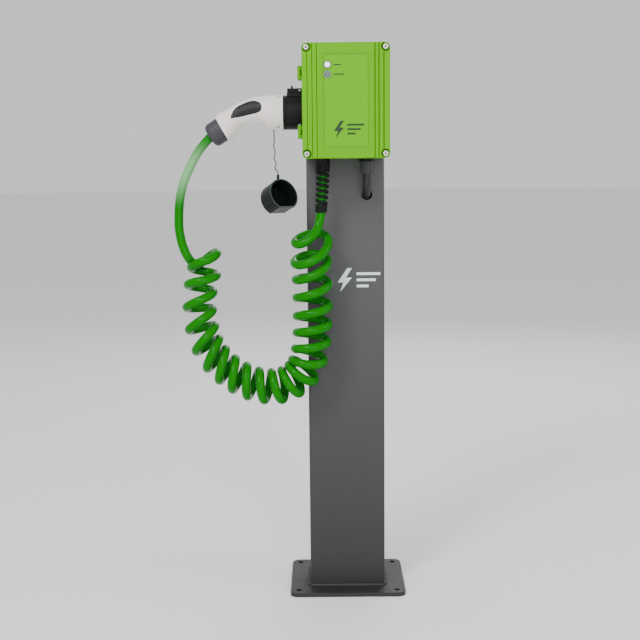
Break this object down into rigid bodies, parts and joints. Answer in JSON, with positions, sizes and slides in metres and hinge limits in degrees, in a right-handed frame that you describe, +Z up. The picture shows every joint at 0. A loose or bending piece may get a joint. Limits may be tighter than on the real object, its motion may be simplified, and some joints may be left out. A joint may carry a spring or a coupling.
{
  "type": "ev charging post",
  "caption": "Free-standing vehicle charging post: rectangular steel column on a bolted plate, plastic control box with hinged cover, and a plug on a curly cable parked in a side holster.",
  "frame": {"origin": "on the floor under the base plate, at the middle of the four anchor holes", "axes": "+Z up along the column, -Y the front with the box's cover, +X to the right of it; the holster and plug are on the -X side"},
  "size_m": [0.4355, 0.2662, 1.066],
  "materials": {
    "plate_paint": "satin dark grey paint",
    "column_steel": "grey powder coat",
    "weld_bead": "painted weld",
    "black_plastic": "fine-grained black",
    "lime_plastic": "lime green, slight gloss",
    "label_film": "lime film on the cover",
    "pictogram_ink": "dark print",
    "pictogram_pale": "pale print",
    "zinc_steel": "zinc plated",
    "chrome_bezel": "bright",
    "ready_glass": "milky lens",
    "charging_glass": "dark green lens",
    "nut_grey": "dark grey moulding",
    "green_sheath": "glossy green jacket",
    "relief_rubber": "matt black",
    "black_sheath": "black jacket",
    "core_insulation": "coloured cores",
    "device_plastic": "light grey moulding",
    "toggle_plastic": "blue moulding",
    "board_green": "solder mask",
    "component_black": "component bodies",
    "shell_white": "warm off-white moulding",
    "core_black": "dark moulding",
    "contact_metal": "plated pins",
    "clamp_steel": "pressed steel",
    "cord_grey": "grey-brown cord"
  },
  "bodies": {
    "post": {"base_plate": "plate_paint", "column_tube": "column_steel", "column_weld": "weld_bead", "column_end_cap": "black_plastic", "rivet_nuts": "zinc_steel", "enclosure_base": "lime_plastic", "enclosure_gaskets": "relief_rubber", "mounting_screws": "zinc_steel", "gland_bodies": "black_plastic", "charging_gland_nut": "black_plastic", "supply_gland_nut": "nut_grey", "gland_locknuts": "black_plastic", "bend_relief": "relief_rubber", "charging_cable_tail": "green_sheath", "charging_cable_coil": "green_sheath", "charging_cable_lead": "green_sheath", "supply_cable": "black_sheath", "charging_cable_end": "green_sheath", "internal_wires": "core_insulation", "holster_housing": "black_plastic", "holster_ring_nut": "black_plastic", "din_rail": "zinc_steel", "equipment_screws": "zinc_steel", "control_module": "device_plastic", "contactor": "device_plastic", "residual_current_breaker": "device_plastic", "controller_board": "board_green", "board_components": "component_black", "column_pictogram": "pictogram_pale", "catch_pin": "zinc_steel"},
    "cover": {"enclosure_cover": "lime_plastic", "hinge_pins": "zinc_steel", "cover_screws": "zinc_steel", "front_label": "label_film", "lamp_housings": "chrome_bezel", "ready_lens": "ready_glass", "charging_lens": "charging_glass", "lamp_nuts": "nut_grey", "lamp_leads": "core_insulation", "cover_pictogram": "pictogram_ink"},
    "connector": {"connector_nose": "core_black", "connector_core": "core_black", "connector_contacts": "contact_metal", "connector_seal": "relief_rubber", "connector_collar": "shell_white", "connector_shell_front": "shell_white", "connector_shell_back": "shell_white", "connector_grips": "relief_rubber", "connector_screws": "zinc_steel", "connector_cable_nut": "nut_grey", "connector_cable_end": "green_sheath", "connector_cable_clamp": "clamp_steel", "connector_wires": "core_insulation", "cap_cord_anchor": "cord_grey"},
    "dust_cap": {"dust_cap": "black_plastic", "cap_cord": "cord_grey"},
    "catch": {"holster_catch": "black_plastic", "catch_spring": "zinc_steel"},
    "toggle": {"breaker_toggle": "toggle_plastic"},
    "test_button": {"test_button": "toggle_plastic"}
  },
  "joints": [
    {"name": "cover_swing", "type": "hinge", "parent": "post", "child": "cover", "pos_m": [-0.0835, -0.14, 0.964], "axis": [0, 0, -1], "range_deg": [0, 100]},
    {"name": "connector_slide", "type": "slide", "parent": "post", "child": "connector", "axis": [-1, 0, 0], "range_m": [0, 0.06], "deforming": ["charging_cable_lead", "charging_cable_coil"]},
    {"name": "catch_lift", "type": "hinge", "parent": "post", "child": "catch", "pos_m": [-0.0845, -0.095, 0.9873], "axis": [0, 1, 0], "range_deg": [0, 14], "stiffness_Nm_per_rad": 0.05, "springref_deg": -11.46},
    {"name": "cap_swing", "type": "hinge", "parent": "connector", "child": "dust_cap", "pos_m": [-0.1335, -0.095, 0.9133], "axis": [0, 1, 0], "range_deg": [-10, 45]},
    {"name": "breaker_switch", "type": "hinge", "parent": "post", "child": "toggle", "pos_m": [0.035, -0.116, 1.01], "axis": [1, 0, 0], "range_deg": [0, 60]},
    {"name": "test_press", "type": "slide", "parent": "post", "child": "test_button", "axis": [0, 1, 0], "range_m": [0, 0.0012], "stiffness_N_per_m": 300}
  ]
}
